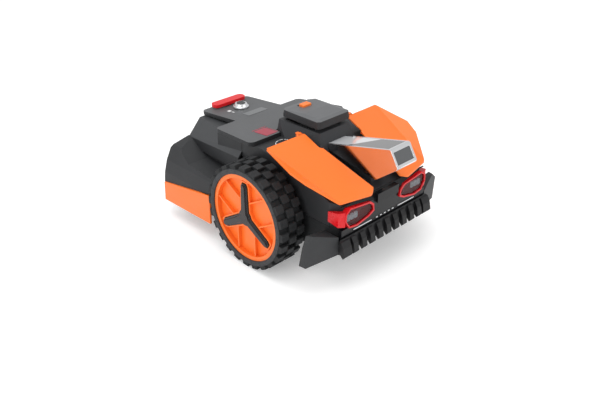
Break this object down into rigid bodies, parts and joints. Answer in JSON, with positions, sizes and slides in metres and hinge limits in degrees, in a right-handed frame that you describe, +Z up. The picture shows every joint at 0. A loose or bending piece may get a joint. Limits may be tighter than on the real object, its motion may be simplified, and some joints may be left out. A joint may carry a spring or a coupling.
{
  "type": "robotic lawn mower",
  "caption": "Robotic lawn mower: large lugged drive wheels, rear casters, adjustable cutting disc with swinging blades, camera head, battery hatch and stop bar.",
  "frame": {"origin": "on the ground under the middle of the machine's length and width", "axes": "front is -Y (the camera head), the machine's right side is -X, +Z is up"},
  "size_m": [0.47, 0.634, 0.329],
  "materials": {
    "black_plastic": "fine grain",
    "rear_panel_black": "matt grain",
    "body_grey": "matt grain",
    "cover_black": "matt grain",
    "slab_grey": "fine matt grain",
    "hatch_grey": "fine matt grain",
    "base_grey": "fine matt grain",
    "latch_orange": "satin",
    "orange_panel": "satin gloss",
    "orange_wheel": "satin",
    "rim_black": "fine grain",
    "contact_metal": "brushed",
    "battery_case": "matt",
    "circuit_board": "solder mask",
    "fascia_gloss": "gloss",
    "lamp_red": "gloss",
    "lamp_glass": "smoked gloss",
    "led_white": "diffuse",
    "bright_trim": "polished",
    "guard_grey": "grain",
    "head_silver": "mirror",
    "dark_glass": "dark glass",
    "lens_black": "matt",
    "stop_red": "satin gloss",
    "knob_silver": "satin metal paint",
    "window_grey": "gloss",
    "display_red": "lit window",
    "tyre_rubber": "moulded rubber",
    "star_black": "satin",
    "shaft_steel": "ground",
    "motor_case": "cast",
    "fork_steel": "powder coat",
    "caster_rubber": "matt",
    "dark_plastic": "fine grain",
    "disc_metal": "stamped",
    "blade_steel": "ground edge"
  },
  "bodies": {
    "mower": {"chassis_tub": "black_plastic", "finger_guard": "black_plastic", "rear_bumper": "black_plastic", "camera_bracket": "black_plastic", "rear_body": "rear_panel_black", "upper_body": "body_grey", "front_cover": "cover_black", "top_slab": "slab_grey", "hatch_base": "base_grey", "side_skirt_r": "orange_panel", "side_skirt_l": "orange_panel", "hood_r": "orange_panel", "hood_l": "orange_panel", "charge_contacts": "contact_metal", "battery_pack": "battery_case", "main_board": "circuit_board", "front_fascia": "fascia_gloss", "lamp_housing_r": "lamp_red", "lamp_housing_l": "lamp_red", "lamp_lens_r": "lamp_glass", "lamp_lens_l": "lamp_glass", "lamp_leds": "led_white", "trim_line": "bright_trim", "corner_guard_r": "guard_grey", "corner_guard_l": "guard_grey", "camera_shell": "head_silver", "camera_glass": "dark_glass", "camera_window": "dark_glass", "camera_modules": "lens_black", "console_window": "window_grey", "status_display": "display_red", "lift_posts": "shaft_steel", "gearmotor_r": "motor_case", "gearmotor_l": "motor_case", "lift_drive": "dark_plastic"},
    "wheel_right": {"tyre_r": "tyre_rubber", "wheel_rim_r": "rim_black", "wheel_disc_r": "orange_wheel", "wheel_star_r": "star_black", "drive_shaft_r": "shaft_steel"},
    "wheel_left": {"tyre_l": "tyre_rubber", "wheel_rim_l": "rim_black", "wheel_disc_l": "orange_wheel", "wheel_star_l": "star_black", "drive_shaft_l": "shaft_steel"},
    "caster_right": {"caster_fork_r": "fork_steel"},
    "caster_left": {"caster_fork_l": "fork_steel"},
    "caster_roll_right": {"caster_wheel_r": "caster_rubber"},
    "caster_roll_left": {"caster_wheel_l": "caster_rubber"},
    "lift": {"lift_carriage": "dark_plastic", "cutter_motor": "motor_case"},
    "disc": {"cutting_disc": "disc_metal"},
    "blade_one": {"blade_a": "blade_steel"},
    "blade_two": {"blade_b": "blade_steel"},
    "blade_three": {"blade_c": "blade_steel"},
    "skid": {"skid_plate": "dark_plastic"},
    "hatch": {"battery_hatch": "hatch_grey"},
    "latch": {"hatch_latch": "latch_orange"},
    "stop": {"stop_button": "stop_red"},
    "knob": {"select_knob": "knob_silver"}
  },
  "joints": [
    {"name": "wheel_right_spin", "type": "hinge", "parent": "mower", "child": "wheel_right", "pos_m": [-0.2, -0.047, 0.127], "axis": [1, 0, 0], "continuous": true},
    {"name": "wheel_left_spin", "type": "hinge", "parent": "mower", "child": "wheel_left", "pos_m": [0.2, -0.047, 0.127], "axis": [1, 0, 0], "continuous": true},
    {"name": "caster_right_swivel", "type": "hinge", "parent": "mower", "child": "caster_right", "pos_m": [-0.118, 0.212, 0.095], "axis": [0, 0, 1], "continuous": true},
    {"name": "caster_left_swivel", "type": "hinge", "parent": "mower", "child": "caster_left", "pos_m": [0.118, 0.212, 0.095], "axis": [0, 0, 1], "continuous": true},
    {"name": "caster_right_roll", "type": "hinge", "parent": "caster_right", "child": "caster_roll_right", "pos_m": [-0.118, 0.234, 0.04], "axis": [1, 0, 0], "continuous": true},
    {"name": "caster_left_roll", "type": "hinge", "parent": "caster_left", "child": "caster_roll_left", "pos_m": [0.118, 0.234, 0.04], "axis": [1, 0, 0], "continuous": true},
    {"name": "cut_height", "type": "slide", "parent": "mower", "child": "lift", "axis": [0, 0, 1], "range_m": [-0.015, 0.015]},
    {"name": "disc_spin", "type": "hinge", "parent": "lift", "child": "disc", "pos_m": [0, 0.039, 0.05], "axis": [0, 0, 1], "continuous": true},
    {"name": "blade_one_pivot", "type": "hinge", "parent": "disc", "child": "blade_one", "pos_m": [0, 0.101, 0.0476], "axis": [0, 0, 1], "range_deg": [-90, 90]},
    {"name": "blade_two_pivot", "type": "hinge", "parent": "disc", "child": "blade_two", "pos_m": [-0.05369, 0.008, 0.0476], "axis": [0, 0, 1], "range_deg": [-90, 90]},
    {"name": "blade_three_pivot", "type": "hinge", "parent": "disc", "child": "blade_three", "pos_m": [0.05369, 0.008, 0.0476], "axis": [0, 0, 1], "range_deg": [-90, 90]},
    {"name": "skid_spin", "type": "hinge", "parent": "disc", "child": "skid", "pos_m": [0, 0.039, 0.0415], "axis": [0, 0, 1], "continuous": true},
    {"name": "hatch_hinge", "type": "hinge", "parent": "mower", "child": "hatch", "pos_m": [0, -0.092, 0.312], "axis": [1, 0, 0], "range_deg": [0, 80]},
    {"name": "latch_slide", "type": "slide", "parent": "hatch", "child": "latch", "axis": [0, 1, 0], "range_m": [0, 0.0045], "stiffness_N_per_m": 150, "springref_m": -0.001},
    {"name": "stop_press", "type": "slide", "parent": "mower", "child": "stop", "axis": [0, 0, -1], "range_m": [0, 0.0025], "stiffness_N_per_m": 500, "springref_m": -0.002},
    {"name": "knob_turn", "type": "hinge", "parent": "mower", "child": "knob", "pos_m": [0, 0.227, 0.25], "axis": [0, 0, 1], "range_deg": [-135, 135]}
  ]
}
